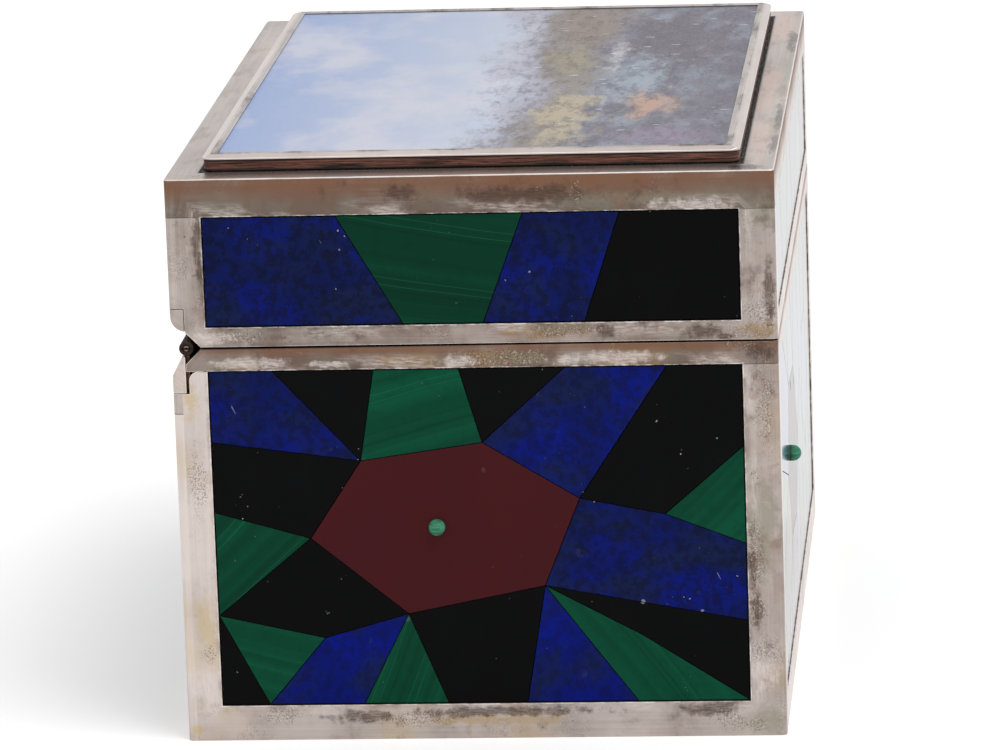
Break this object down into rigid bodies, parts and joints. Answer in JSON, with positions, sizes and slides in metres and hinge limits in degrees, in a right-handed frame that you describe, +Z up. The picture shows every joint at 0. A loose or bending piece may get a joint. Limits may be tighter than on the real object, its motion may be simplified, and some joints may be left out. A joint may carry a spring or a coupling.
{
  "type": "presentation box",
  "caption": "Rectangular silver box with a hinged lid, panels of inlaid stone in its walls and a framed painted panel on the lid.",
  "frame": {"origin": "middle of the underside of the base plate, on the surface that the box stands on", "axes": "+X along the length and the hinge, -Y towards the front, +Y towards the hinge, +Z up"},
  "size_m": [0.1502, 0.1032, 0.0987],
  "materials": {
    "silver": "worn polished silver with warm tarnish",
    "tarnished_silver": "dark tarnished silver",
    "gilt_silver": "satin gilding",
    "dark_wood": "dark stained edge",
    "painting": "varnished paint",
    "onyx": "polished black stone",
    "lapis": "polished deep blue stone",
    "malachite": "polished banded green stone",
    "jasper": "polished dark red stone",
    "mosaic": "polished black, blue, green and red stones"
  },
  "bodies": {
    "body": {"base_plate": "silver", "body_back_frame": "silver", "body_back_liner": "gilt_silver", "body_back_mosaic": "mosaic", "body_front_frame": "silver", "body_front_liner": "gilt_silver", "body_front_mosaic": "mosaic", "body_hinge_bearer": "silver", "body_hinge_leaf": "tarnished_silver", "body_hinge_strip": "silver", "body_jasper_1": "jasper", "body_lapis_1": "lapis", "body_lapis_2": "lapis", "body_lapis_3": "lapis", "body_lapis_4": "lapis", "body_lapis_5": "lapis", "body_left_frame": "silver", "body_left_liner": "gilt_silver", "body_malachite_1": "malachite", "body_malachite_2": "malachite", "body_malachite_3": "malachite", "body_malachite_4": "malachite", "body_malachite_5": "malachite", "body_malachite_6": "malachite", "body_onyx_1": "onyx", "body_onyx_2": "onyx", "body_onyx_3": "onyx", "body_onyx_4": "onyx", "body_onyx_5": "onyx", "body_onyx_6": "onyx", "body_onyx_7": "onyx", "body_onyx_8": "onyx", "body_right_frame": "silver", "body_right_liner": "gilt_silver", "body_right_mosaic": "mosaic", "front_cabochon": "malachite", "hinge_pin": "tarnished_silver", "left_cabochon": "malachite"},
    "lid": {"lid_back_frame": "silver", "lid_back_liner": "gilt_silver", "lid_back_mosaic": "mosaic", "lid_front_frame": "silver", "lid_front_liner": "gilt_silver", "lid_front_mosaic": "mosaic", "lid_hinge_bearer": "silver", "lid_hinge_leaf": "tarnished_silver", "lid_hinge_strip": "silver", "lid_lapis_1": "lapis", "lid_lapis_2": "lapis", "lid_left_frame": "silver", "lid_left_liner": "gilt_silver", "lid_malachite_1": "malachite", "lid_onyx_1": "onyx", "lid_right_frame": "silver", "lid_right_liner": "gilt_silver", "lid_right_mosaic": "mosaic", "lid_top_plate": "silver", "painted_panel": "painting", "plaque_board": "dark_wood", "plaque_rim": "silver"}
  },
  "joints": [
    {"name": "lid_hinge", "type": "hinge", "parent": "body", "child": "lid", "pos_m": [0, 0.04745, 0.0673], "axis": [-1, 0, 0], "range_deg": [0, 120]}
  ]
}
